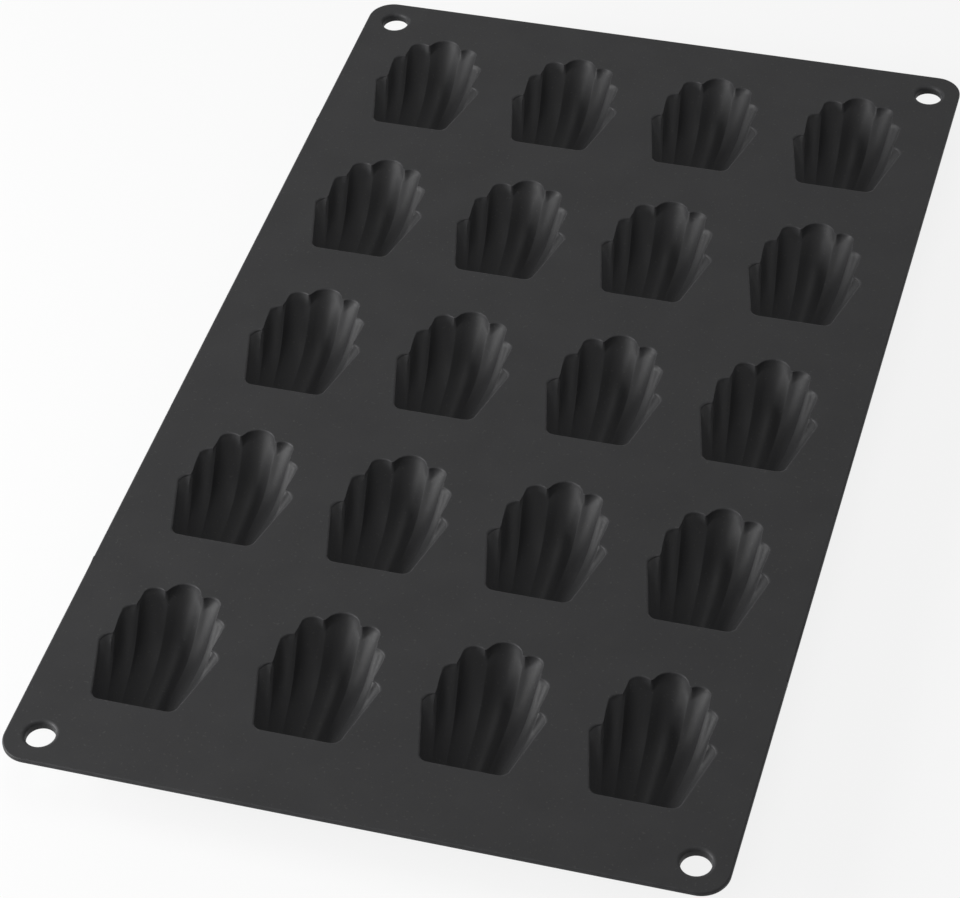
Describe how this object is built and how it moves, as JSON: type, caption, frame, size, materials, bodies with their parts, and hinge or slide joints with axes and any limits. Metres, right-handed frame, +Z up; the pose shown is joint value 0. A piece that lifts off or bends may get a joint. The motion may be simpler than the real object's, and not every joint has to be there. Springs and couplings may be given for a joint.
{
  "type": "silicone madeleine mould",
  "caption": "Flexible baking mould: a thin rounded sheet with rows of fluted shell-shaped cups and a hanging eyelet in each corner; it rolls up between its rows.",
  "frame": {"origin": "centre of the mould's outline, on the surface that its cups stand on", "axes": "+Y along the sheet's long side, from the shells' straight narrow ends to their fan tips; +X to the right of a person who stands at the narrow ends; +Z up, out of the cups' mouths"},
  "size_m": [0.175, 0.3, 0.0149],
  "materials": {
    "silicone": "soft matt moulded silicone, near black"
  },
  "bodies": {
    "row_1": {"deck_row1": "silicone", "cup_row1_1": "silicone", "cup_row1_2": "silicone", "cup_row1_3": "silicone", "cup_row1_4": "silicone", "eyelet_near_left": "silicone", "eyelet_near_right": "silicone"},
    "row_2": {"deck_row2": "silicone", "cup_row2_1": "silicone", "cup_row2_2": "silicone", "cup_row2_3": "silicone", "cup_row2_4": "silicone", "web_1_2": "silicone"},
    "row_3": {"deck_row3": "silicone", "cup_row3_1": "silicone", "cup_row3_2": "silicone", "cup_row3_3": "silicone", "cup_row3_4": "silicone", "web_2_3": "silicone", "web_3_4": "silicone"},
    "row_4": {"deck_row4": "silicone", "cup_row4_1": "silicone", "cup_row4_2": "silicone", "cup_row4_3": "silicone", "cup_row4_4": "silicone", "web_4_5": "silicone"},
    "row_5": {"deck_row5": "silicone", "cup_row5_1": "silicone", "cup_row5_2": "silicone", "cup_row5_3": "silicone", "cup_row5_4": "silicone", "eyelet_far_left": "silicone", "eyelet_far_right": "silicone"}
  },
  "joints": [
    {"name": "bend_2_3", "type": "hinge", "parent": "row_3", "child": "row_2", "pos_m": [0, -0.02385, 0.0142], "axis": [-1, 0, 0], "range_deg": [-60, 60], "stiffness_Nm_per_rad": 0.018, "deforming": ["web_2_3"]},
    {"name": "bend_1_2", "type": "hinge", "parent": "row_2", "child": "row_1", "pos_m": [0, -0.07975, 0.0142], "axis": [-1, 0, 0], "range_deg": [-60, 60], "stiffness_Nm_per_rad": 0.018, "deforming": ["web_1_2"]},
    {"name": "bend_3_4", "type": "hinge", "parent": "row_3", "child": "row_4", "pos_m": [0, 0.03205, 0.0142], "axis": [1, 0, 0], "range_deg": [-60, 60], "stiffness_Nm_per_rad": 0.018, "deforming": ["web_3_4"]},
    {"name": "bend_4_5", "type": "hinge", "parent": "row_4", "child": "row_5", "pos_m": [0, 0.08795, 0.0142], "axis": [1, 0, 0], "range_deg": [-60, 60], "stiffness_Nm_per_rad": 0.018, "deforming": ["web_4_5"]}
  ]
}
